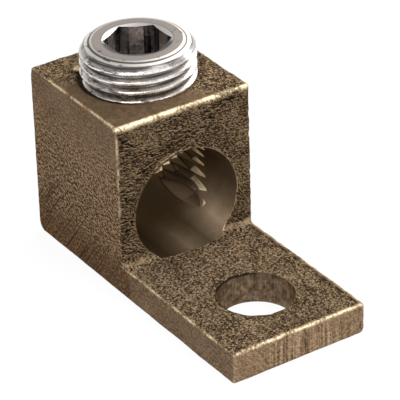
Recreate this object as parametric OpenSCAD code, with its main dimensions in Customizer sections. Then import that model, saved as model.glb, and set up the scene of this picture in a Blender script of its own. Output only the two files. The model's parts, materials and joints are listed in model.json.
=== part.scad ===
// Screw-clamp cable lug: a cast block and tongue in one piece, with a socket set screw over the cable bore.
// The stud hole's centre on the seat is the origin, +X runs out along the tongue and +Z is up.

/* [Block] */
// Width of the block and of the tongue
body_w = 21; // [20:0.1:28]
// Length of the block, along the cable
block_l = 21.6; // [20:0.1:28]
// Height of the block over the seat
block_h = 25.3; // [23:0.1:32]

/* [Tongue] */
// Length of the tongue in front of the block
tongue_l = 25.8; // [20:0.1:36]
// Thickness of the tongue
tongue_t = 4.6; // [3:0.1:7]
// Distance from the stud hole's centre to the end of the tongue
stud_to_end = 10.05; // [8:0.05:12]
// Diameter of the stud hole
stud_d = 10.3; // [5:0.1:13]

/* [Cable bore] */
// Diameter of the cable bore
bore_d = 16; // [10:0.1:17]
// Thickness of the wall under the bore
bore_floor = 2.65; // [1.5:0.05:4]
// Included angle of the drill's point
drill_angle = 140; // [90:1:150]
// How far the drill's full diameter runs past the front of the block
drill_runout = 1.2; // [0:0.05:2]

/* [Set screw] */
// Outside diameter of the screw's thread
screw_d = 15.7; // [12:0.05:17]
// Pitch of the thread
pitch = 1.411; // [1:0.001:2]
// Length of the screw
screw_l = 11.8; // [10:0.1:16]
// Gap between the end of the screw and the crown of the cable bore
screw_gap = 0.15; // [0.1:0.05:1]
// Width across the flats of the hexagon socket
hex_af = 7.94; // [5:0.01:9]
// Depth of the hexagon socket
hex_depth = 6.3; // [4:0.1:7]
// Width of the countersink round the socket's flats
sink_w = 0.95; // [0.5:0.05:1.3]
// Depth of the countersink
sink_depth = 0.45; // [0.2:0.05:1]
// Width of the worn bevel round the flat top of the screw
bevel_w = 1.1; // [0.5:0.05:1.5]
// Drop of the worn bevel
bevel_drop = 0.4; // [0.2:0.05:0.8]
// Chamfer at both ends of the thread
thread_chamfer = 0.75; // [0.4:0.05:1.2]

/* [Tapped hole] */
// Height of the tapped hole's floor over the seat
tap_floor = 4.5; // [3:0.1:7]
// Radial clearance between the screw and its hole
tap_clear = 0.04; // [0.03:0.01:0.1]

/* [Edges] */
// Radius of the dressed edges on the near side
near_r = 0.3; // [0.1:0.05:1]
// Radius of the cast edges on the far side of the tongue and of the seat
far_r = 1.1; // [0.3:0.05:1.4]
// Radius of the cast edges round the block
block_r = 0.5; // [0.2:0.05:1.5]
// Radius of the edge at the heel, under the back of the block
heel_r = 2.2; // [0.5:0.1:4]
// Radius of the fillet where the tongue meets the block
root_r = 0.6; // [0.2:0.05:1.5]

/* [Hidden] */
$fn = 96;

// How far a cutting shape runs past the face that it cuts
over = 1;
tongue_end = stud_to_end;
block_front = tongue_end - tongue_l;
block_back = block_front - block_l;
half_w = body_w / 2;
bore_r = bore_d / 2;
bore_z = bore_floor + bore_r;
bore_crown = bore_floor + bore_d;
screw_x = block_front - block_l / 2;
screw_end = bore_crown + screw_gap;
screw_r = screw_d / 2;
hex_r = hex_af / 2;
// A 60 degree thread form, with its crest cut flat at 1/8 of the pitch and its root at 1/4
crest_share = 1 / 8;
root_share = 1 / 4;
flank_share = (1 - crest_share - root_share) / 2;
thread_depth = pitch * flank_share / tan(30);
// Corners of the form from the root up, as a share of the pitch and a depth under the crest
thread_form = [
    [0, thread_depth],
    [root_share, thread_depth],
    [root_share + flank_share, 0],
    [1 - flank_share, 0],
];
thread_sides = 36;

// The sharp corner at the origin that lies outside a circle of radius r
module corner(r) {
    difference() {
        translate([-over, -over])
            square(r + over);
        translate([r, r])
            circle(r);
    }
}

// A rectangle with radii at its low-low, high-low, high-high and low-high corners
module rounded_rect(low, high, radii) {
    places = [low, [high[0], low[1]], high, [low[0], high[1]]];
    difference() {
        translate(low)
            square(high - low);
        for (i = [0 : 3])
            if (radii[i] > 0)
                translate(places[i])
                    rotate(90 * i)
                        corner(radii[i]);
    }
}

// Side view, in X and Z
module side_profile() {
    rounded_rect([block_back, 0], [block_front, block_h], [heel_r, 0, block_r, block_r]);
    rounded_rect([block_front - over, 0], [tongue_end, tongue_t], [0, near_r, near_r, 0]);
    translate([block_front, tongue_t])
        corner(root_r);
}

// Plan view, in X and Y, with the near side at low Y
module plan_profile() {
    rounded_rect([block_back, -half_w], [tongue_end, half_w], [near_r, near_r, far_r, block_r]);
}

// End views, in Y and Z
module block_end_profile() {
    rounded_rect([-half_w, 0], [half_w, block_h], [near_r, far_r, block_r, near_r]);
}

module tongue_end_profile() {
    rounded_rect([-half_w, 0], [half_w, tongue_t], [near_r, far_r, far_r, near_r]);
}

module along_x(from, to) {
    translate([from, 0, 0])
        rotate([90, 0, 90])
            linear_extrude(to - from)
                children();
}

module along_y() {
    translate([0, half_w, 0])
        rotate([90, 0, 0])
            linear_extrude(body_w)
                children();
}

// What the three views have in common
module casting() {
    intersection() {
        along_y()
            side_profile();
        linear_extrude(block_h)
            plan_profile();
        union() {
            along_x(block_back, block_front + root_r)
                block_end_profile();
            along_x(block_front, tongue_end)
                tongue_end_profile();
        }
    }
}

// Drilled from the back of the block, with the drill's point running out into the top of the tongue
module cable_bore() {
    bore_l = block_l + drill_runout;
    translate([block_back, 0, bore_z])
        rotate([0, 90, 0]) {
            translate([0, 0, -over])
                cylinder(r = bore_r, h = bore_l + over);
            translate([0, 0, bore_l])
                cylinder(r1 = bore_r, r2 = 0, h = bore_r / tan(drill_angle / 2));
        }
}

// Flat-bottomed, down through the bore's crown and into its two side walls
module tapped_hole() {
    translate([screw_x, 0, tap_floor])
        cylinder(r = screw_r + tap_clear, h = block_h - tap_floor + over);
}

module stud_hole() {
    translate([0, 0, -over])
        cylinder(d = stud_d, h = tongue_t + 2 * over);
}

module lug_body() {
    color("#7a664c")
        difference() {
            casting();
            cable_bore();
            tapped_hole();
            stud_hole();
        }
}

// Point of the thread on a spoke and at a level, four levels to a turn
function thread_point(spoke, level) =
    let (form = thread_form[level % len(thread_form)])
    let (turn = spoke / thread_sides)
    let (rise = turn + floor(level / len(thread_form)) + form[0])
    let (r = screw_r - form[1])
    [r * cos(360 * turn), r * sin(360 * turn), pitch * (rise - 2)];

// A single-start right-hand thread, longer than the screw at both ends. Its wall is a grid of spokes and
// levels that meets itself one turn up, and a fan from the axis closes each end.
module thread() {
    per_turn = len(thread_form);
    levels = per_turn * (ceil(screw_l / pitch) + 3);
    last = thread_sides - 1;
    row = levels + 1;
    points = [for (spoke = [0 : last]) for (level = [0 : levels]) thread_point(spoke, level)];
    wall = [
        for (spoke = [0 : last])
            let (next = spoke == last ? per_turn : (spoke + 1) * row)
            for (level = [0 : spoke == last ? levels - per_turn - 1 : levels - 1])
                let (here = spoke * row + level)
                let (there = next + level)
                each [[here, here + 1, there + 1], [here, there + 1, there]]
    ];
    low_rim = [
        for (spoke = [0 : last]) spoke * row,
        for (level = [per_turn : -1 : 1]) level,
    ];
    high_rim = [
        for (spoke = [last : -1 : 0]) spoke * row + levels,
        for (level = [levels - per_turn : levels - 1]) last * row + level,
    ];
    low_hub = len(points);
    high_hub = low_hub + 1;
    hubs = [[0, 0, points[0][2]], [0, 0, points[levels][2]]];
    polyhedron(concat(points, hubs), concat(wall, fan(low_rim, low_hub), fan(high_rim, high_hub)));
}

function fan(rim, hub) = [for (i = [0 : len(rim) - 1]) [hub, rim[i], rim[(i + 1) % len(rim)]]];

// The turned blank: a flat top with a worn bevel round it, and a chamfer at each end of the thread
module blank() {
    shoulder_r = screw_r - thread_chamfer;
    shoulder_z = screw_l - bevel_drop;
    rotate_extrude()
        polygon([
            [0, 0],
            [shoulder_r, 0],
            [screw_r + over, thread_chamfer + over],
            [screw_r + over, shoulder_z - thread_chamfer - over],
            [shoulder_r, shoulder_z],
            [shoulder_r - bevel_w, screw_l],
            [0, screw_l],
        ]);
}

// Broached into a drilled hole, with a countersunk mouth
module hex_socket() {
    point_h = hex_r / tan(drill_angle / 2);
    translate([0, 0, screw_l - hex_depth])
        cylinder(r = hex_r / cos(30), h = hex_depth + over, $fn = 6);
    translate([0, 0, screw_l - hex_depth - point_h])
        cylinder(r1 = 0, r2 = hex_r, h = point_h);
    translate([0, 0, screw_l - sink_depth])
        cylinder(r1 = hex_r, r2 = hex_r + 2 * sink_w, h = 2 * sink_depth);
}

module set_screw() {
    color("#c9c6c1")
        translate([screw_x, 0, screw_end])
            difference() {
                intersection() {
                    thread();
                    blank();
                }
                hex_socket();
            }
}

lug_body();
set_screw();
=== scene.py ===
"""Looks of a screw-clamp cable lug: a rough bronze casting with machined holes, and a bright set screw.

Each piece is made as the real one is. The casting is a rough skin that is then drilled and tapped, and the
screw is a threaded rod that is turned to a blank and broached. Lengths are in millimetres, in the materials
too, and the finished meshes are in metres.
"""

import functools
import json
import math

import bpy
import numpy as np
from mathutils import Matrix, Vector, noise


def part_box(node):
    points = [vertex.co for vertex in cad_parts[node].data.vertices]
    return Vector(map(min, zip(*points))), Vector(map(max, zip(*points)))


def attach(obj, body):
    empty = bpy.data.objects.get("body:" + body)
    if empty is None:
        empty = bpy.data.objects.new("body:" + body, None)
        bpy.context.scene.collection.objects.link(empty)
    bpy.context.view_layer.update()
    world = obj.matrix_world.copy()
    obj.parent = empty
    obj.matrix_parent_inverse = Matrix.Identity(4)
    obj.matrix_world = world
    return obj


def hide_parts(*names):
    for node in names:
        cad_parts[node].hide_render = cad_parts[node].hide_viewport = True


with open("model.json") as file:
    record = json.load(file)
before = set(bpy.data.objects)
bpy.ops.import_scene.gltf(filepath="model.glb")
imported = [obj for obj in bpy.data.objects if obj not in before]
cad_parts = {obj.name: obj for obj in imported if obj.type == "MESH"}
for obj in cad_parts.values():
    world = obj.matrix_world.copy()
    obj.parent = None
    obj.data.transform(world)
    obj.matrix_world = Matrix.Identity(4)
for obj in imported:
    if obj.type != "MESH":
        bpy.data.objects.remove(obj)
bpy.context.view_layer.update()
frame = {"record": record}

MM = 0.001
X, Y, Z = range(3)

# Sizes that the frame gives. The cable bore's mount stands in the middle of the block.
mounts = {m["name"]: m for m in frame["record"]["mounts"]}
stud_mount, bore_mount = mounts["stud_hole"], mounts["cable_bore"]
body_low, body_high = (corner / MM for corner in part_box("lug_body"))
screw_low, screw_high = (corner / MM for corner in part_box("set_screw"))
BACK, END = body_low.x, body_high.x
FRONT = 2 * bore_mount["pos_m"][X] / MM - BACK
HALF_W, BLOCK_H = body_high.y, body_high.z
STUD_R = stud_mount["dims"]["r_mm"]
TONGUE_T = stud_mount["dims"]["length_mm"]
BORE_R = bore_mount["dims"]["r_mm"]
BORE_Z = bore_mount["pos_m"][Z] / MM
BORE_CROWN = BORE_Z + BORE_R
BORE_END = BACK + bore_mount["dims"]["length_mm"]
SCREW_X = (screw_low.x + screw_high.x) / 2
SCREW_END, SCREW_TOP = screw_low.z, screw_high.z
SCREW_R = (screw_high.x - screw_low.x) / 2

# Sizes that part.scad also holds
TAP_FLOOR = 4.5
PITCH = 1.411
HEX_R = 7.94 / 2
HEX_DEPTH = 6.3
BEVEL_W, BEVEL_DROP = 1.1, 0.4
THREAD_CHAMFER = 0.75
NEAR_R, FAR_R, BLOCK_R, HEEL_R, ROOT_R = 0.3, 1.1, 0.5, 2.2, 0.6
DRILL_ANGLE = math.radians(140)

# The screw's top, from the outside in. Its countersink is rubbed shallower than part.scad's.
SHOULDER_R = SCREW_R - THREAD_CHAMFER
BEVEL_R = SHOULDER_R - BEVEL_W
SINK_W, SINK_DEPTH = 0.8, 0.2
SINK_R = HEX_R + SINK_W
HEX_CORNER_R = HEX_R / math.cos(math.pi / 6)

# The casting's skin: its voxels, and the size and depth of its lumps, sand grain and nicked edges
VOXEL = 0.26
LUMP, LUMP_DEPTH = 5.0, 0.06
GRAIN, GRAIN_DEPTH = 0.95, 0.09
NICK, NICK_DEPTH = 1.1, 0.17
NICK_SHIFT = Vector((7, 3, 1))
# From the painted light side of a grain to its painted shade side
PAINTED_SHADE_SHIFT = (-0.06, -0.06, -0.13)

# Teeth of the bore's torn front rim: the angle from +Y where each starts, the angle where it ends in a
# point, and its height. They fade out over a reach along the bore.
TEETH = ((131, 119.5, 0.9), (119, 109, 0.9), (108.5, 99.5, 0.7), (99, 92, 0.4))
TOOTH_REACH = 0.7
# The curl of metal at the mouth of the tapped hole: angle, half width in degrees, width, height
CURL = (221, 10, 0.75, 0.7)

# The threads. A form runs from the root up, as a share of the pitch and a share of the depth.
SPOKES = 144
SCREW_DEPTH = PITCH * 0.5413
SCREW_FORM = ((0, 1), (0.2, 1), (0.49, 0.12), (0.55, 0), (0.7, 0), (0.76, 0.12))
TAP_CLEAR = 0.2
TAP_R = SCREW_R + TAP_CLEAR
TAP_DEPTH = PITCH * 0.5
TAP_FORM = ((0, 1), (0.22, 1), (0.53, 0), (0.69, 0))
# Inside the cable bore the tapped hole is a little wider and its crests are torn back
TAP_WIDER, TAP_TORN = 0.45, 0.25
# The dished floor of the tapped hole: its slope, where it is at TAP_FLOOR, and where the tap's lead starts
FLOOR_SLOPE, FLOOR_R, TAP_LEAD = 0.2, 5.1, 7.6

# How far a tool runs past the face that it cuts, and the sides of the plain round tools
OVER = 2.0
BORE_SPOKES, STUD_SPOKES, TOOL_SPOKES = 256, 128, 96
# How near a wall a point counts as on it, and how near two places count as the same
SLACK, SAME = 0.1, 1e-3
# Angles in degrees past which an edge stays sharp
CAST_SHARP, SCREW_SHARP = 45, 12


# Meshes

def mesh_object(name, points, faces):
    mesh = bpy.data.meshes.new(name)
    mesh.from_pydata([tuple(p) for p in points], [], faces)
    mesh.update()
    obj = bpy.data.objects.new(name, mesh)
    bpy.context.scene.collection.objects.link(obj)
    return obj


def applied(obj, kind, **settings):
    """Adds a modifier and keeps its result as the mesh."""
    modifier = obj.modifiers.new(kind, kind)
    for key, value in settings.items():
        setattr(modifier, key, value)
    evaluated = obj.evaluated_get(bpy.context.evaluated_depsgraph_get())
    mesh = bpy.data.meshes.new_from_object(evaluated)
    obj.modifiers.clear()
    obj.data = mesh
    return obj


def combined(obj, tool, operation):
    applied(obj, "BOOLEAN", object=tool, operation=operation, solver="MANIFOLD")
    bpy.data.objects.remove(tool)
    return obj


def lathe(name, profile, spokes, axis="Z", centre=(0, 0, 0), shift=None):
    """A closed solid of revolution. profile holds (radius, height) from one end of the axis to the other,
    with radius 0 at both ends. shift(angle, height) is added to the radius of the points off the axis."""
    rows = profile[1:-1]
    points = [(0, 0, profile[0][1])]
    for r, h in rows:
        for i in range(spokes):
            a = 2 * math.pi * i / spokes
            d = r + (shift(a, h) if shift else 0)
            points.append((d * math.cos(a), d * math.sin(a), h))
    points.append((0, 0, profile[-1][1]))
    faces = []
    for i in range(spokes):
        j = (i + 1) % spokes
        faces.append((0, 1 + j, 1 + i))
        for k in range(len(rows) - 1):
            low, high = 1 + k * spokes, 1 + (k + 1) * spokes
            faces.append((low + i, low + j, high + j, high + i))
        top = 1 + (len(rows) - 1) * spokes
        faces.append((top + i, top + j, len(points) - 1))
    turn = Matrix.Rotation(math.pi / 2, 4, "Y") if axis == "X" else Matrix.Identity(4)
    place = Matrix.Translation(centre) @ turn
    return mesh_object(name, [place @ Vector(p) for p in points], faces)


def thread_rod(name, crest_r, depth, low, high, form, wear):
    """A right-hand thread about the screw's axis, in phase with PITCH at the screw's end. wear(angle,
    height, share of the depth) comes off its radius. The wall is a grid of spokes and levels that meets
    itself one turn up, and a fan from the axis closes each end."""
    first = math.floor((low - SCREW_END) / PITCH) - 1
    turns = math.ceil((high - low) / PITCH) + 3
    per_turn = len(form)
    levels = per_turn * turns
    row = levels + 1
    last = SPOKES - 1
    points = []
    for spoke in range(SPOKES):
        angle = 2 * math.pi * spoke / SPOKES
        for level in range(row):
            share, cut = form[level % per_turn]
            z = SCREW_END + PITCH * (first + spoke / SPOKES + level // per_turn + share)
            r = crest_r - depth * cut - wear(angle, z, cut)
            points.append((SCREW_X + r * math.cos(angle), r * math.sin(angle), z))
    faces = []
    for spoke in range(SPOKES):
        next_spoke = per_turn if spoke == last else (spoke + 1) * row
        for level in range(levels - per_turn if spoke == last else levels):
            here = spoke * row + level
            there = next_spoke + level
            faces.append((here, there, there + 1, here + 1))
    low_rim = [spoke * row for spoke in range(SPOKES)] + list(range(per_turn, 0, -1))
    high_rim = [spoke * row + levels for spoke in reversed(range(SPOKES))]
    high_rim += [last * row + level for level in range(levels - per_turn, levels)]
    for rim, level in ((low_rim, 0), (high_rim, levels)):
        hub = len(points)
        points.append((SCREW_X, 0, points[level][2]))
        faces += [(hub, rim[(i + 1) % len(rim)], rim[i]) for i in range(len(rim))]
    return mesh_object(name, points, faces)


def finished(obj, sharp_angle):
    """Smooth shading with sharp edges, in metres."""
    obj.data.transform(Matrix.Scale(MM, 4))
    obj.data.shade_smooth()
    obj.data.set_sharp_from_angle(angle=math.radians(sharp_angle))


def points_of(mesh, what="co"):
    values = np.empty(len(mesh.vertices) * 3)
    mesh.vertices.foreach_get(what, values)
    return values.reshape(-1, 3)


def set_attribute(mesh, name, values, domain="POINT"):
    mesh.attributes.new(name, "FLOAT", domain).data.foreach_set("value", values.astype(np.float32))


# The casting's edges and faces

def smooth_step(value, low, high):
    t = np.clip((value - low) / (high - low), 0, 1)
    return t * t * (3 - 2 * t)


def edge_distance(p):
    """How far each point of the skin lies from the casting's nearest outside edge."""
    x, y, z = p.T
    near, far, low = y + HALF_W, HALF_W - y, z
    block = np.sort(np.abs([x - BACK, FRONT - x, near, far, low, BLOCK_H - z]), axis=0)[1]
    tongue = np.sort(np.abs([END - x, near, far, low, TONGUE_T - z]), axis=0)[1]
    return np.where(x < FRONT + ROOT_R, block, tongue)


def torn_rim(y, z):
    """Which points lie by a tooth of the bore's torn rim."""
    angle = np.degrees(np.arctan2(z - BORE_Z, y))
    return np.any([(angle < start) & (angle > point) for start, point, _ in TEETH], axis=0)


def beside(a, b, width):
    """1 by the edge of two faces that lie a and b away, and 0 from a little past its width."""
    return np.clip(1.3 - np.maximum(np.abs(a), np.abs(b)) / width, 0, 1)


def edge_wear_and_highlight(p):
    """How far each point is rubbed bright, from the edges that it lies near, which is partly worn bronze
    and partly a painted highlight along the edges that catch the light.
    """
    x, y, z = p.T
    back, front, end = x - BACK, x - FRONT, END - x
    near, far = y + HALF_W, HALF_W - y
    top, tongue_top = BLOCK_H - z, TONGUE_T - z
    on_tongue = x > FRONT + ROOT_R
    on_block = ~on_tongue
    over_tongue = on_block & (z > TONGUE_T + ROOT_R)
    rising = smooth_step(z, 2, 20)
    rim = np.hypot(y, z - BORE_Z) - BORE_R
    root = np.hypot(x - FRONT - ROOT_R, z - TONGUE_T - ROOT_R) - ROOT_R
    # Where each edge counts, the distances from its two faces, its width, and how far it is worn and
    # highlighted
    edges = [
        (on_block, front, top, 0.46, 1.4),
        (on_block & (top > 0.25), front, top, 0.95, 0.8),
        (on_block, near, top, 0.42, 0.68),
        (on_block, front, near, 0.45, 0.15 + 0.45 * rising),
        (over_tongue, front, far, 0.4, 0.4),
        (on_block, back, top, 0.5, 0.45),
        (on_block, far, top, 0.6, 0.5),
        (on_block, back, near, 0.5, 0.35),
        (on_block, back, far, 0.5, 0.35),
        (front < 1.5 * ROOT_R, root, tongue_top, 0.6, 0.4),
        (on_tongue, end, tongue_top, 0.55, 0.9),
        (on_tongue, near, tongue_top, 0.4, 0.75),
        (on_tongue, far, tongue_top, 1.0, 0.8),
        (on_tongue, end, near, 0.5, 0.4),
        (on_tongue, end, far, 0.8, 0.4),
        (on_block & (z > TONGUE_T + 1), front, rim, 0.3, 0.22),
        (on_block & torn_rim(y, z), front, np.maximum(rim, 0), 0.5, 0.6),
    ]
    wear = np.zeros(len(p))
    for where, a, b, width, amount in edges:
        wear = np.maximum(wear, where * amount * beside(a, b, width))
    curl = 0.7 * smooth_step(z, BLOCK_H + 0.1, BLOCK_H + 0.3)
    return np.maximum(wear, curl)


def smooth_shaded_top(p):
    """The smooth part of the block's top, between the screw and the near front corner, where the screw's
    shadow is painted.
    """
    x, y, z = p.T
    towards_corner = (x - SCREW_X - y) / math.sqrt(2)
    return smooth_step(towards_corner, 1.5, 5.5) * (z > BLOCK_H - 0.6)


# The casting

def same(a, b):
    return math.isclose(a, b, abs_tol=SAME)


def edge_radius(a, b):
    """Radius of the casting's edge between two of its corners."""
    mid = (a + b) / 2
    if mid.y < -HALF_W / 2:
        return NEAR_R
    if mid.y > HALF_W / 2:
        return FAR_R if mid.z < TONGUE_T + SAME and mid.x > BACK + SAME else BLOCK_R
    if same(a.x, BACK) and same(a.z, 0):
        return HEEL_R
    if same(a.x, FRONT) and same(a.z, TONGUE_T):
        return ROOT_R
    return BLOCK_R if same(a.z, BLOCK_H) else NEAR_R


def blank_casting():
    """The block and tongue with their edges rounded, before the skin is roughened."""
    side = [(BACK, 0), (END, 0), (END, TONGUE_T), (FRONT, TONGUE_T), (FRONT, BLOCK_H), (BACK, BLOCK_H)]
    n = len(side)
    points = [(x, y, z) for y in (-HALF_W, HALF_W) for x, z in side]
    faces = [tuple(range(n)), tuple(reversed(range(n, 2 * n)))]
    faces += [(i, n + i, n + (i + 1) % n, (i + 1) % n) for i in range(n)]
    obj = mesh_object("lug_body_cast", points, faces)
    mesh = obj.data
    weights = mesh.attributes.new("bevel_weight_edge", "FLOAT", "EDGE")
    for edge in mesh.edges:
        ends = (mesh.vertices[i].co for i in edge.vertices)
        weights.data[edge.index].value = edge_radius(*ends) / HEEL_R
    applied(obj, "BEVEL", width=HEEL_R, segments=5, limit_method="WEIGHT")
    return applied(obj, "REMESH", mode="VOXEL", voxel_size=VOXEL)


def coarseness(co, normal):
    """Depth of the sand grain at each point, as a share of GRAIN_DEPTH. The block's front is coarser than
    the other faces, and the tongue's end, the near side and the seat are finer."""
    faces_front = normal[:, X] > 0.5
    coarse = np.ones(len(co))
    for where, share in (
        (faces_front, 1.2),
        (faces_front & (co[:, X] > 0), 0.4),
        (normal[:, Y] < -0.5, 0.35),
        (normal[:, Z] < -0.5, 0.25),
    ):
        coarse[where] = share
    return coarse * (1 - 0.85 * smooth_shaded_top(co))


def nicked(co):
    """How far each point may be nicked: along the edges, but not by the seat or low on the back."""
    over_seat = co[:, Z] > NICK
    off_back = (co[:, X] > BACK + NICK) | (co[:, Z] > BLOCK_H - NICK)
    return np.clip(1 - edge_distance(co) / NICK, 0, 1) ** 2 * over_seat * off_back


def curl_rise(co):
    """How far the curl by the tapped hole stands up at each point."""
    middle, half, width, height = CURL
    across, along = co[:, X] - SCREW_X, co[:, Y]
    angle = np.degrees(np.arctan2(along, across)) % 360
    rise = np.clip(1 - np.abs(angle - middle) / half, 0, 1) ** 0.7
    rise *= np.clip(1.4 - np.abs(np.hypot(across, along) - TAP_R - width / 3) / width, 0, 1)
    return height * rise * (co[:, Z] > BLOCK_H - 0.3)


def roughen(obj):
    """Sinks the skin by lumps, sand grain and nicks, and raises the curl by the tapped hole."""
    mesh = obj.data
    co = points_of(mesh)
    normal = points_of(mesh, "normal")
    coarse = coarseness(co, normal)
    nicks = nicked(co)
    sink = np.zeros(len(co))
    for i, point in enumerate(co):
        p = Vector(point)
        sink[i] = LUMP_DEPTH * (0.5 + noise.noise(p / LUMP))
        sink[i] += GRAIN_DEPTH * coarse[i] * max(0, 0.3 + noise.fractal(p / GRAIN, 0.9, 2.1, 2))
        if nicks[i] > 0:
            sink[i] += NICK_DEPTH * nicks[i] * max(0, 0.1 + noise.noise(p / NICK + NICK_SHIFT))
    moved = co - normal * np.maximum(0, sink)[:, None]
    moved[:, Z] += curl_rise(co)
    mesh.vertices.foreach_set("co", moved.ravel())
    mesh.update()
    return obj


def bore_tool():
    """The drill for the cable. Teeth of torn metal stay standing round its front rim."""
    length = BORE_END - BACK
    front = FRONT - BACK

    def torn(angle, h):
        from_y = math.degrees(angle) - 90
        heights = [
            height * (start - from_y) / (start - point)
            for start, point, height in TEETH
            if point < from_y < start
        ]
        return -max(heights, default=0) * max(0, 1 - abs(h - front) / TOOTH_REACH)

    step, fine_step = 0.6, 0.25
    rows = [-OVER, *np.arange(step / 2, front - 1.5 * step, step), front - TOOTH_REACH]
    rows += [front - fine_step, front, front + fine_step, length]
    point_end = length + BORE_R / math.tan(DRILL_ANGLE / 2)
    profile = [(0, -OVER), *((BORE_R, h) for h in rows), (0, point_end)]
    return lathe("bore_tool", profile, BORE_SPOKES, "X", (BACK, 0, BORE_Z), torn)


def tap_floor_z(r):
    """Height of the floor of the tapped hole."""
    return TAP_FLOOR + (r - FLOOR_R) * FLOOR_SLOPE


def tap_tool():
    """The tap, cut off at the floor of its hole and at its own tapered lead."""
    def torn(angle, z, cut):
        inside = min(1, max(0, BORE_CROWN - z))
        return -inside * (TAP_TORN * cut + TAP_WIDER * (1 - cut))

    tap = thread_rod("tap_tool", TAP_R, TAP_DEPTH, TAP_FLOOR, BLOCK_H, TAP_FORM, torn)
    high, wide = BLOCK_H + OVER, TAP_R + OVER
    lead = tap_floor_z(TAP_LEAD)
    profile = [
        (0, tap_floor_z(0)),
        (TAP_LEAD, lead),
        (wide, lead + wide - TAP_LEAD),
        (wide, high),
        (0, high),
    ]
    limit = lathe("tap_limit", profile, TOOL_SPOKES, centre=(SCREW_X, 0, 0))
    return combined(tap, limit, "INTERSECT")


def stud_tool():
    high = TONGUE_T + OVER
    return lathe("stud_tool", [(0, -OVER), (STUD_R, -OVER), (STUD_R, high), (0, high)], STUD_SPOKES)


def machined(p):
    """Which points lie on a drilled or tapped wall."""
    x, y, z = p.T
    r = np.hypot(y, z - BORE_Z)
    drill_r = BORE_R - np.maximum(0, x - BORE_END) * math.tan(DRILL_ANGLE / 2)
    in_bore = (r < drill_r + SLACK) & (x > BACK + SLACK) & ((x < FRONT - SLACK) | (r > drill_r - SLACK))
    tap_r = TAP_R + np.where(z < BORE_CROWN, TAP_WIDER, 0)
    in_tap = (np.hypot(x - SCREW_X, y) < tap_r + SLACK) & (z > TAP_FLOOR - 1) & (z < BLOCK_H - SLACK)
    in_stud = (np.hypot(x, y) < STUD_R + SLACK) & (z < TONGUE_T - 0.02) & (z > 0.02)
    return in_bore | in_tap | in_stud


def groove_end_highlights(p):
    """Where highlights are painted on the ends of the tapped hole's grooves in the far wall of the bore,
    longer low down.
    """
    x, y, z = p.T
    outside = np.hypot(y, z - BORE_Z) - BORE_R
    groove = (outside > 0.015) & (np.hypot(x - SCREW_X, y) > TAP_R - 0.25)
    place = (y > 0) & (x > SCREW_X) & (x < FRONT - 1) & (z > TAP_FLOOR + 1) & (z < BORE_Z + 0.9 * BORE_R)
    reach = 0.7 + 0.9 * (z < BORE_Z + 1.5)
    return np.clip(1.3 - outside / reach, 0, 1) * groove * place


def lug_body():
    obj = roughen(blank_casting())
    for tool in (bore_tool(), tap_tool(), stud_tool()):
        combined(obj, tool, "DIFFERENCE")
    obj.name = "lug_body_visual"
    mesh = obj.data
    co = points_of(mesh)
    # Worn edges, partly painted highlights along the edges that catch the light
    set_attribute(mesh, "wear", np.where(machined(co), 0, edge_wear_and_highlight(co)))
    # The smooth patch of the top where the screw's shadow is painted
    set_attribute(mesh, "rubbed", smooth_shaded_top(co))
    centres = np.array([f.center for f in mesh.polygons])
    # Painted highlights on the ends of the grooves in the bore's far wall
    set_attribute(mesh, "ends", groove_end_highlights(centres), "FACE")
    mesh.materials.clear()
    mesh.materials.append(cast_bronze())
    mesh.materials.append(cut_bronze())
    mesh.polygons.foreach_set("material_index", machined(centres).astype(np.int32))
    finished(obj, CAST_SHARP)
    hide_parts("lug_body")
    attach(obj, "lug_body")


# The set screw

def screw_wear(angle, z, cut):
    """Flattened crests, with dents in them on the near side."""
    place = Vector((SCREW_R * math.cos(angle), SCREW_R * math.sin(angle), z))
    near = max(0, math.cos(angle - math.radians(235)))
    dent = max(0, noise.fractal(place / 0.9, 0.8, 2.2, 2) - 0.35)
    flat = 0.03 * (1 + noise.noise(place / 3.5))
    return (1 - cut) * (flat + 0.4 * near * dent)


def screw_blank():
    """What the threaded rod is turned to: a bevel round its flat top, and a chamfer at each end."""
    length = SCREW_TOP - SCREW_END
    shoulder_z = length - BEVEL_DROP
    profile = [
        (0, 0),
        (SHOULDER_R, 0),
        (SCREW_R + OVER, THREAD_CHAMFER + OVER),
        (SCREW_R + OVER, shoulder_z - THREAD_CHAMFER - OVER),
        (SHOULDER_R, shoulder_z),
        (BEVEL_R, length),
        (0, length),
    ]
    return lathe("blank", profile, SPOKES, centre=(SCREW_X, 0, SCREW_END))


def socket_tools():
    """The broach of the hexagon, the drill under it and the countersink."""
    base = SCREW_TOP - HEX_DEPTH
    point = base - HEX_R / math.tan(DRILL_ANGLE / 2)
    top, sink = SCREW_TOP + OVER, SCREW_TOP - SINK_DEPTH
    sink_r, sink_top = HEX_R + 2 * SINK_W, sink + 2 * SINK_DEPTH
    for name, spokes, profile in (
        ("broach", 6, [(0, base), (HEX_CORNER_R, base), (HEX_CORNER_R, top), (0, top)]),
        ("drill", TOOL_SPOKES, [(0, point), (HEX_R, base), (HEX_R, base + 1), (0, base + 1)]),
        ("sink", TOOL_SPOKES, [(0, sink), (HEX_R, sink), (sink_r, sink_top), (0, top)]),
    ):
        yield lathe(name, profile, spokes, centre=(SCREW_X, 0, 0))


def set_screw():
    obj = thread_rod("set_screw_visual", SCREW_R, SCREW_DEPTH, SCREW_END, SCREW_TOP, SCREW_FORM, screw_wear)
    combined(obj, screw_blank(), "INTERSECT")
    for tool in socket_tools():
        combined(obj, tool, "DIFFERENCE")
    obj.data.materials.clear()
    obj.data.materials.append(plated_steel())
    finished(obj, SCREW_SHARP)
    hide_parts("set_screw")
    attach(obj, "set_screw")


# Node trees

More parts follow.
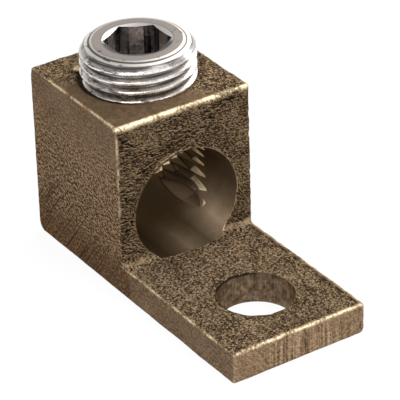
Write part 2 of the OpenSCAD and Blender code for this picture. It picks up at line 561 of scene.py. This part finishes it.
class Nodes:
    """A material's or a world's node tree, with short calls to add and link nodes."""

    def __init__(self, owner):
        owner.use_nodes = True
        self.owner = owner
        self.tree = owner.node_tree
        self.shader = self.tree.nodes.get("Principled BSDF") or self.tree.nodes["Background"]
        self.where = self.add("ShaderNodeTexCoord").outputs

    @functools.cached_property
    def place(self):
        """Place in the part's own frame, in millimetres."""
        metres = self.where["Object"]
        return self.add("ShaderNodeVectorMath", {0: metres}, operation="SCALE", Scale=1 / MM).outputs[0]

    @functools.cached_property
    def xyz(self):
        return self.parts(self.place)

    def parts(self, vector):
        return self.add("ShaderNodeSeparateXYZ", {"Vector": vector}).outputs

    def add(self, kind, links=(), **settings):
        """Adds a node. Settings are its input values, or else its own properties."""
        node = self.tree.nodes.new(kind)
        for key, value in settings.items():
            if key in node.inputs and not hasattr(node, key):
                node.inputs[key].default_value = value
            else:
                setattr(node, key, value)
        for key, source in dict(links).items():
            self.tree.links.new(source, node.inputs[key])
        return node

    def feed(self, socket, value):
        """Sets a socket to a number or a colour, or links it to another node."""
        if isinstance(value, (int, float)):
            socket.default_value = value
        elif isinstance(value, tuple):
            socket.default_value = (*value, 1)
        else:
            self.tree.links.new(value, socket)

    def mapped(self, size, turn=(0, 0, 0), shift=(0, 0, 0)):
        """Place moved by shift and measured in one size, or in a size along each axis of a turned frame."""
        settings = {
            "Location": shift,
            "Rotation": [math.radians(t) for t in turn],
            "Scale": size if isinstance(size, tuple) else (size,) * 3,
        }
        node = self.add("ShaderNodeMapping", {"Vector": self.place}, vector_type="TEXTURE", **settings)
        return node.outputs[0]

    def noise(self, size, detail=3.0, rough=0.6, **mapping):
        place = self.mapped(size, **mapping)
        node = self.add("ShaderNodeTexNoise", {"Vector": place}, Scale=1.0, Detail=detail, Roughness=rough)
        return node.outputs["Fac"]

    def cracks(self, size):
        """Distance from the wavy lines between grains of a size."""
        place = self.mapped(size)
        wave = self.add("ShaderNodeTexNoise", {"Vector": place}, Scale=1.7, Detail=2.0).outputs["Color"]
        bent = self.add("ShaderNodeVectorMath", {0: place, 1: wave}, operation="ADD").outputs[0]
        node = self.add("ShaderNodeTexVoronoi", {"Vector": bent}, feature="DISTANCE_TO_EDGE", Scale=1.0)
        return node.outputs["Distance"]

    def rubbed(self, height, share, slope):
        """Grain with painted light on its upper sides and painted shade under them. height(shift) is its
        height, moved by shift, and share and slope say how much of the height and of its slope shows."""
        here = height((0, 0, 0))
        level = self.plus(self.times(here, share), (1 - share) / 2)
        rise = self.minus(here, height(PAINTED_SHADE_SHIFT))
        return self.plus(level, self.times(rise, slope))

    def facing(self, axis, sign, low=0.5, high=0.8):
        """1 on the faces that look along an axis, in the part's own frame."""
        return self.span(self.times(self.parts(self.where["Normal"])[axis], sign), low, high)

    def span(self, value, low, high, to_low=0.0, to_high=1.0):
        """A value brought from one range to another, and held inside it."""
        node = self.add("ShaderNodeMapRange", {"Value": value}, interpolation_type="SMOOTHSTEP")
        for key, number in zip(("From Min", "From Max", "To Min", "To Max"), (low, high, to_low, to_high)):
            node.inputs[key].default_value = number
        return node.outputs[0]

    def ramp(self, source, stops):
        node = self.add("ShaderNodeValToRGB", {"Fac": source})
        elements = node.color_ramp.elements
        while len(elements) < len(stops):
            elements.new(0.5)
        for element, (at, value) in zip(elements, stops):
            element.position = at
            element.color = (*value, 1) if isinstance(value, tuple) else (value, value, value, 1)
        return node.outputs["Color"]

    def math(self, operation, a, b=0.0):
        node = self.add("ShaderNodeMath", operation=operation)
        for socket, value in zip(node.inputs, (a, b)):
            self.feed(socket, value)
        return node.outputs[0]

    def plus(self, a, b):
        return self.math("ADD", a, b)

    def minus(self, a, b):
        return self.math("SUBTRACT", a, b)

    def times(self, first, *others):
        product = first
        for value in others:
            product = self.math("MULTIPLY", product, value)
        return product

    def away(self, a, b):
        """How far a lies from b."""
        return self.math("ABSOLUTE", self.minus(a, b))

    def length(self, a, b):
        return self.math("SQRT", self.plus(self.times(a, a), self.times(b, b)))

    def mix(self, factor, a, b):
        """a where the factor is 0 and b where it is 1, as colours or greys."""
        node = self.add("ShaderNodeMix", data_type="RGBA")
        self.feed(node.inputs[0], factor)
        for socket, value in ((node.inputs[6], a), (node.inputs[7], b)):
            self.feed(socket, (value,) * 3 if isinstance(value, (int, float)) else value)
        return node.outputs[2]

    def bump(self, height, depth):
        node = self.add("ShaderNodeBump", {"Height": height}, Distance=depth * MM, Strength=1.0)
        return node.outputs["Normal"]

    def attribute(self, name):
        return self.add("ShaderNodeAttribute", attribute_name=name).outputs["Fac"]

    def finish(self, **sockets):
        for key, value in sockets.items():
            self.feed(self.shader.inputs[key.replace("_", " ")], value)
        return self.owner

    def seen(self):
        """1 for the rays that show a surface itself, to the camera or in metal and glass."""
        path = self.add("ShaderNodeLightPath").outputs
        mirrored = self.math("MAXIMUM", path["Is Glossy Ray"], path["Is Transmission Ray"])
        return self.math("MAXIMUM", path["Is Camera Ray"], mirrored)


# Bronze

# The colour of painted shadows
PAINTED_SHADOW = (0.01, 0.007, 0.004)
# Worn edges, tan and bright, partly painted highlights
TAN_WEAR_AND_HIGHLIGHT, BRIGHT_WEAR_AND_HIGHLIGHT = (0.34, 0.245, 0.15), (0.74, 0.62, 0.415)
BRONZE_SHINE = {"Specular_IOR_Level": 0.1, "Specular_Tint": (0.6, 0.42, 0.27)}


def cast_grain(n, front):
    """Height of the sand grain, with painted light on the upper sides of its grains and painted shade under
    them, with cracks between the grains and deeper pits. On the front of the block it is finer and drawn
    out sideways, with wavy creases high on the near half, which also carry painted light and shade."""
    _, y, z = n.xyz
    sand = n.rubbed(lambda shift: n.noise(0.34, 4, 0.75, shift=shift), 0.9, 0.85)
    grain = n.plus(sand, n.span(n.cracks(0.5), 0.0, 0.25, -0.1, 0.03))
    grain = n.plus(grain, n.span(n.noise(1.2, 2, 0.6), 0.28, 0.42, -0.12, 0.0))
    creased = n.times(n.span(n.minus(z, y), 13, 20), n.span(n.noise(2.5, 2, 0.5), 0.42, 0.58))

    def front_relief(shift):
        fine = n.noise((0.25, 0.34, 0.25), 4, 0.75, shift=shift)
        line = n.away(n.noise((1.0, 2.4, 0.75), 2, 0.5, shift=shift), 0.5)
        return n.plus(fine, n.times(n.span(line, 0.0, 0.05, -0.4, 0.0), creased))

    grain = n.mix(front, grain, n.minus(n.rubbed(front_relief, 0.75, 0.95), 0.04))
    return n.plus(grain, n.span(n.noise(3.5, 3, 0.6), 0.3, 0.7, -0.05, 0.05))


def cast_colour(n, grain, on_tongue):
    """Dark pits and light grains, with more contrast on the block's top than on the tongue's. The faces
    that look up are painted lighter than the sides, as painted light from above.
    """
    sides = n.ramp(grain, [
        (0.36, (0.009, 0.006, 0.003)),
        (0.43, (0.055, 0.036, 0.019)),
        (0.49, (0.115, 0.077, 0.043)),
        (0.63, (0.29, 0.205, 0.122)),
    ])
    block_top = n.ramp(grain, [
        (0.36, (0.012, 0.008, 0.004)),
        (0.43, (0.065, 0.042, 0.022)),
        (0.49, (0.14, 0.094, 0.053)),
        (0.63, (0.44, 0.325, 0.2)),
    ])
    tongue_top = n.ramp(grain, [
        (0.36, (0.026, 0.017, 0.009)),
        (0.43, (0.096, 0.063, 0.035)),
        (0.5, (0.152, 0.104, 0.061)),
        (0.64, (0.36, 0.262, 0.162)),
    ])
    # The faces that look up take the lighter ramps, as painted light from above
    return n.mix(n.facing(Z, 1), sides, n.mix(on_tongue, block_top, tongue_top))


def sawn_look(n, on_tongue, end):
    """Colour and height of the sawn faces: brown, with painted shade low on the block, speckled over the
    middle with painted light and shade, with slanting scratches low down and at the back. The tongue's end
    is lighter, with upright scratches."""
    x, y, z = n.xyz
    speck = n.rubbed(lambda shift: n.noise(0.42, 3, 0.7, shift=shift), 1.1, 1.8)
    speckled = n.span(n.away(z, 12.5), 4, 10, 1.0, 0.4)
    # Painted shade: the block's sawn side is darker towards its bottom
    low = n.mix(on_tongue, n.span(z, 2, 16, 1.0, 0.0), 0.0)
    colour = n.ramp(n.noise(4, 3, 0.55), [(0.3, (0.118, 0.079, 0.051)), (0.7, (0.178, 0.125, 0.085))])
    colour = n.mix(low, colour, (0.075, 0.039, 0.018))
    # Dark and light specks from the grain's painted shade and painted light
    colour = n.mix(n.times(n.span(speck, 0.4, 0.5, 1.0, 0.0), speckled), colour, (0.022, 0.013, 0.006))
    colour = n.mix(n.times(n.span(speck, 0.52, 0.62), speckled), colour, (0.31, 0.21, 0.125))
    low_back = n.span(n.plus(z, n.times(x, 0.45)), -9, 4, 1.0, 0.25)
    slant = n.span(n.noise((10, 10, 0.3), 3, 0.6, turn=(0, -52, 0)), 0.52, 0.62)
    slant = n.times(slant, n.mix(on_tongue, low_back, 0.4))
    colour = n.mix(n.times(slant, 0.85), colour, (0.025, 0.015, 0.008))

    middle = n.span(n.away(y, 1), 3, 8, 0.8, 0.2)
    strokes = n.times(n.minus(n.noise((4, 0.3, 8), 3, 0.65), 0.5), middle)
    strokes = n.plus(strokes, n.span(speck, 0.2, 0.8, 0.42, 0.58))
    end_colour = n.ramp(strokes, [
        (0.36, (0.06, 0.037, 0.02)),
        (0.45, (0.165, 0.108, 0.063)),
        (0.55, (0.235, 0.16, 0.098)),
        (0.66, (0.38, 0.28, 0.18)),
    ])
    height = n.mix(end, n.minus(speck, n.times(slant, 0.3)), strokes)
    return n.mix(end, colour, end_colour), height


def mouth_shadow(n):
    """Where a shadow is painted in the mouth of the tapped hole, on the near back side."""
    x, y, _ = n.xyz
    across = n.minus(x, SCREW_X)
    mouth = n.span(n.length(across, y), TAP_R + 0.1, TAP_R + 0.5, 0.9, 0.0)
    near_back = n.span(n.plus(n.times(across, 0.4), y), -5, 2, 1.0, 0.0)
    return n.times(mouth, near_back, n.facing(Z, 1))


def cast_bronze():
    n = Nodes(bpy.data.materials.new("cast_bronze"))
    x, y, _ = n.xyz
    on_tongue = n.span(x, FRONT + 1, FRONT + 2)
    faces_front = n.facing(X, 1)
    end = n.times(faces_front, on_tongue)
    sawn = n.math("MAXIMUM", n.facing(Y, -1), n.math("MAXIMUM", end, n.facing(Z, -1)))
    grain = cast_grain(n, n.minus(faces_front, end))
    sawn_colour, sawn_height = sawn_look(n, on_tongue, end)

    # The top of the block is smooth beside the screw, with the screw's shadow painted on it
    rubbed = n.attribute("rubbed")
    screw_shadow_colour = n.ramp(n.noise(0.9, 4, 0.65), [(0.35, (0.11, 0.073, 0.042)), (0.65, (0.18, 0.123, 0.075))])
    colour = n.mix(n.times(rubbed, 0.92), cast_colour(n, grain, on_tongue), screw_shadow_colour)
    colour = n.mix(sawn, colour, sawn_colour)
    # A painted shadow in the mouth of the tapped hole
    colour = n.mix(mouth_shadow(n), colour, PAINTED_SHADOW)

    # A broken painted shadow line inside the far edge of the tongue
    line = n.span(n.away(y, HALF_W - 1.25), 0.15, 0.4, 1.0, 0.0)
    line = n.times(line, on_tongue, n.span(n.noise(1.6, 2, 0.6), 0.4, 0.55))
    colour = n.mix(n.times(line, 0.75), colour, (0.012, 0.008, 0.005))

    # Edges rubbed tan, and bright where they are rubbed most: partly worn bronze and partly a painted
    # highlight along the edges
    chips = n.plus(n.noise(0.45, 4, 0.75), n.span(n.noise(2.8, 2, 0.5), 0.3, 0.7, -0.1, 0.1))
    wear = n.times(n.attribute("wear"), n.span(chips, 0.36, 0.6, 0.4, 1.3))
    bright = n.span(wear, 0.42, 1.0)
    colour = n.mix(n.times(n.span(wear, 0.15, 0.5), 0.85), colour, TAN_WEAR_AND_HIGHLIGHT)
    colour = n.mix(bright, colour, BRIGHT_WEAR_AND_HIGHLIGHT)

    height = n.times(n.minus(1.0, n.times(rubbed, 0.85)), grain)
    height = n.mix(sawn, height, n.times(sawn_height, 0.3))
    height = n.mix(n.times(bright, 0.6), height, 0.5)
    return n.finish(
        Base_Color=colour,
        Metallic=0.65,
        Roughness=n.span(bright, 0, 1, 0.55, 0.42),
        Normal=n.bump(height, 0.24),
        **BRONZE_SHINE,
    )


def bore_colour(n):
    """A sheen painted in bands along the bore, brightest low on the far side, and painted shade deep at the
    back. The floor of the tapped hole is dark, with a light lip."""
    x, y, z = n.xyz
    down = n.minus(BORE_Z, z)
    r = n.length(y, down)
    turn = n.plus(n.times(n.math("ARCTAN2", y, down), 1 / math.pi), 0.5)
    # A sheen painted by the angle round the bore, fading to painted shade deeper in
    painted_sheen = n.ramp(turn, [
        (0.39, 0.02),
        (0.47, 0.2),
        (0.545, 0.5),
        (0.59, 0.3),
        (0.645, 0.12),
        (0.7, 0.5),
        (0.767, 0.95),
        (0.82, 0.7),
        (0.89, 0.38),
        (1.0, 0.18),
    ])
    painted_sheen = n.times(painted_sheen, n.span(x, FRONT - 11, FRONT - 2))
    painted_sheen = n.times(painted_sheen, n.span(n.noise(2.0, 3, 0.6), 0.3, 0.7, 0.8, 1.1))
    colour = n.mix(painted_sheen, (0.068, 0.045, 0.022), (0.5, 0.37, 0.24))

    lowest = tap_floor_z(0)
    ledge = n.times(n.facing(Z, 1, 0.92, 0.96), n.span(z, lowest - 0.08, lowest + 0.12))
    colour = n.mix(n.times(ledge, 0.5), colour, (0.05, 0.034, 0.02))
    colour = n.mix(n.span(r, BORE_R + 0.05, BORE_R + 0.2, 0.0, 0.75), colour, (0.3, 0.21, 0.13))
    lip = n.times(ledge, n.span(r, BORE_R + 0.1, BORE_R + 0.3, 0.8, 0.0))
    return n.mix(lip, colour, (0.5, 0.37, 0.23))


def stud_colour(n):
    """Mottled, with upright marks, and a painted shadow under the rim on the near back side."""
    x, y, z = n.xyz
    mottle = n.plus(n.noise(0.8, 4, 0.7), n.span(n.noise((0.3, 0.3, 3), 3, 0.6), 0.3, 0.7, -0.06, 0.06))
    colour = n.ramp(mottle, [
        (0.34, (0.05, 0.032, 0.018)),
        (0.5, (0.125, 0.085, 0.052)),
        (0.66, (0.22, 0.155, 0.1)),
    ])
    # A painted shadow under the rim, on the near back side
    shade = n.span(n.plus(n.times(x, 0.55), n.times(y, 0.84)), -1, 2.5, 0.85, 0.0)
    shade = n.times(shade, n.span(z, TONGUE_T - 0.6, TONGUE_T - 0.2))
    return n.mix(shade, colour, PAINTED_SHADOW)


def cut_bronze():
    n = Nodes(bpy.data.materials.new("cut_bronze"))
    # From the bore's point to the stud hole
    at_stud = n.span(n.xyz[X], -9, -8)
    colour = n.mix(at_stud, bore_colour(n), stud_colour(n))
    colour = n.mix(n.span(n.noise(0.4, 3, 0.6), 0.62, 0.75, 0, 0.2), colour, (0.36, 0.26, 0.165))
    # Painted highlights on the ends of the tapped hole's grooves
    ends = n.times(n.attribute("ends"), n.span(n.noise(0.6), 0.3, 0.6, 0.6, 1.2))
    colour = n.mix(n.span(ends, 0.2, 0.9), colour, (0.92, 0.8, 0.58))
    marks = n.mix(at_stud, n.noise((0.5, 8, 8), 2, 0.5), n.noise((0.3, 0.3, 4), 3, 0.6))
    return n.finish(
        Base_Color=colour,
        Metallic=0.7,
        Roughness=0.42,
        Normal=n.bump(marks, 0.015),
        **BRONZE_SHINE,
    )


# Steel

def thread_colour(n, r):
    """Streaked along the thread with painted reflections, with painted highlights on the crests and painted
    shade in the roots.
    """
    # Streaks of painted reflection along the thread
    streaks = n.noise((6, 6, 0.3), 3, 0.55)
    colour = n.ramp(streaks, [(0.34, (0.36, 0.33, 0.315)), (0.66, (0.82, 0.77, 0.735))])
    # A painted highlight on the crests
    crest = n.span(r, SCREW_R - 0.3, SCREW_R - 0.05, 0.0, 0.8)
    colour = n.mix(crest, colour, (0.95, 0.9, 0.84))
    # Painted shade in the roots
    root = n.span(r, SCREW_R - 0.7, SCREW_R - 0.36, 0.85, 0.0)
    root = n.times(root, n.span(n.noise((5, 5, 0.8), 2, 0.5), 0.38, 0.58, 0.45, 1.0))
    return n.mix(root, colour, (0.05, 0.045, 0.045))


def top_colour(n, r, rings):
    """Turned rings, with painted lines at the edges: a grey shade line by the countersink, and a highlight
    and a dark shade line on the bevel, and a painted highlight on the outer edge. The countersink has a
    painted highlight at the far back and painted shade at the near front."""
    x, y, _ = n.xyz
    colour = n.ramp(rings, [(0.3, (0.31, 0.27, 0.24)), (0.7, (0.46, 0.405, 0.365))])
    # Painted lines at the top's edges: shade by the countersink, a highlight and a shade line on the bevel
    for at, width, tone in (
        (SINK_R + 0.05, 0.12, (0.25, 0.235, 0.23)),
        (BEVEL_R + 0.2, 0.18, (0.85, 0.83, 0.8)),
        (BEVEL_R + 0.5, 0.14, (0.06, 0.055, 0.055)),
    ):
        colour = n.mix(n.span(n.away(r, at), 0.4 * width, width, 0.8, 0.0), colour, tone)
    # The countersink: a painted highlight at the far back, painted shade at the near front
    to_near_front = n.minus(n.times(n.minus(x, SCREW_X), 0.84), n.times(y, 0.54))
    sink = n.mix(n.span(to_near_front, -0.3, 1.2), (0.72, 0.68, 0.65), (0.07, 0.062, 0.058))
    colour = n.mix(n.span(r, SINK_R - 0.1, SINK_R, 1.0, 0.0), colour, sink)
    # A painted highlight on the outer edge
    return n.mix(n.span(r, BEVEL_R + 0.6, BEVEL_R + 0.7, 0.0, 0.9), colour, (0.95, 0.89, 0.82))


def socket_colour(n):
    """The middle of each flat keeps a band of the drilled hole, and the broached corners are dark."""
    x, y, _ = n.xyz
    corners = n.math("COSINE", n.times(n.math("ARCTAN2", y, n.minus(x, SCREW_X)), 6))
    streaks = n.noise((0.45, 0.45, 9), 2, 0.5)
    drilled = n.ramp(streaks, [(0.3, (0.68, 0.62, 0.595)), (0.7, (0.77, 0.7, 0.67))])
    broached = n.ramp(streaks, [(0.42, (0.05, 0.046, 0.045)), (0.58, (0.42, 0.4, 0.39))])
    return n.mix(n.span(corners, -0.2, -0.08), drilled, broached)


def plated_steel():
    n = Nodes(bpy.data.materials.new("plated_steel"))
    x, y, z = n.xyz
    r = n.length(n.minus(x, SCREW_X), y)
    top = n.facing(Z, 1, 0.88, 0.93)
    rings = n.add("ShaderNodeTexNoise", {"W": n.times(r, 1 / 0.3)}, noise_dimensions="1D").outputs["Fac"]
    colour = n.mix(top, thread_colour(n, r), top_colour(n, r, rings))

    # Dark pits, most of them low on the near side
    low_near = n.span(n.plus(y, n.times(z, 0.5)), 7, 12.5, 0.13, 0.0)
    pits = n.span(n.plus(n.noise((1.5, 1.5, 0.25), 3, 0.55), low_near), 0.66, 0.72)
    colour = n.mix(n.times(pits, 0.75), colour, (0.09, 0.085, 0.085))

    # The walls of the socket, under the countersink
    wall = n.span(r, HEX_CORNER_R + 0.04, HEX_CORNER_R + 0.12, 1.0, 0.0)
    wall = n.times(wall, n.span(z, SCREW_TOP - 2 * SINK_DEPTH, SCREW_TOP - SINK_DEPTH, 1.0, 0.0))
    wall = n.times(wall, n.minus(1.0, n.facing(Z, 1)))
    colour = n.mix(wall, colour, socket_colour(n))
    rough = n.mix(top, n.span(n.noise(0.9, 3, 0.6), 0.3, 0.7, 0.32, 0.22), 0.42)
    height = n.mix(top, n.noise((3.0, 3.0, 0.2), 2, 0.5), rings)
    height = n.mix(wall, height, n.noise((0.3, 0.3, 30), 3, 0.6))
    return n.finish(Base_Color=colour, Metallic=1.0, Roughness=rough, Normal=n.bump(height, 0.01))


# The stage

VIEW_AZIMUTH, VIEW_ELEVATION, VIEW_ROLL = math.radians(57.03), math.radians(30.65), math.radians(-1.74)
VIEW_TARGET = Vector((-12.995, 0.267, 12.353))
VIEW_DISTANCE = 359.76
LENS, SENSOR = 246.5, 36.0
FLOOR_HALF, FLOOR_GAP = 1500, 0.02


def camera():
    back = Vector((
        math.sin(VIEW_AZIMUTH) * math.cos(VIEW_ELEVATION),
        -math.cos(VIEW_AZIMUTH) * math.cos(VIEW_ELEVATION),
        math.sin(VIEW_ELEVATION),
    ))
    level = Vector((0, 0, 1)).cross(back).normalized()
    upright = back.cross(level)
    right = level * math.cos(VIEW_ROLL) + upright * math.sin(VIEW_ROLL)
    up = back.cross(right)
    data = bpy.data.cameras.new("camera")
    data.lens, data.sensor_width = LENS, SENSOR
    data.clip_start = 0.01
    obj = bpy.data.objects.new("camera", data)
    place = Matrix((right, up, back)).transposed().to_4x4()
    place.translation = (VIEW_TARGET + back * VIEW_DISTANCE) * MM
    obj.matrix_world = place
    bpy.context.scene.collection.objects.link(obj)
    bpy.context.scene.camera = obj


def soft_box(name, place, size, power):
    """An area lamp that looks at the middle of the view."""
    data = bpy.data.lights.new(name, "AREA")
    data.shape = "RECTANGLE"
    data.size, data.size_y = (s * MM for s in size)
    data.energy = power
    obj = bpy.data.objects.new(name, data)
    obj.location = Vector(place) * MM
    obj.rotation_euler = (VIEW_TARGET - Vector(place)).to_track_quat("-Z", "Y").to_euler()
    bpy.context.scene.collection.objects.link(obj)


def floor():
    """A white floor, just under the seat, that keeps a faint shadow."""
    half = FLOOR_HALF * MM
    corners = [(-half, -half, 0), (half, -half, 0), (half, half, 0), (-half, half, 0)]
    obj = mesh_object("floor", corners, [(0, 1, 2, 3)])
    obj.location.z = -FLOOR_GAP * MM
    n = Nodes(bpy.data.materials.new("floor"))
    n.finish(Base_Color=(0.9, 0.9, 0.9), Roughness=0.9, Metallic=0.0)
    glow = n.add("ShaderNodeEmission", Strength=1.0)
    sources = {0: n.times(n.seen(), 0.88), 1: n.shader.outputs[0], 2: glow.outputs[0]}
    blend = n.add("ShaderNodeMixShader", sources)
    n.tree.links.new(blend.outputs[0], n.tree.nodes["Material Output"].inputs[0])
    obj.data.materials.append(n.owner)


def studio():
    scene = bpy.context.scene
    scene.view_settings.view_transform = "Standard"
    scene.world = bpy.data.worlds.new("studio")
    n = Nodes(scene.world)
    up = n.parts(n.where["Generated"])[Z]
    backdrop = n.times(n.seen(), n.span(up, 0.3, 0.6, 1.0, 0.0))
    n.finish(Color=(1, 1, 1), Strength=n.span(backdrop, 0, 1, 0.35, 1.0))
    soft_box("key", (150, -250, 320), (300, 240), 1.7)
    soft_box("front", (310, 90, 240), (260, 200), 1.2)
    soft_box("back", (-120, 300, 260), (300, 200), 0.8)
    soft_box("top", (60, 130, 470), (180, 180), 0.4)
    camera()
    floor()


lug_body()
set_screw()
studio()
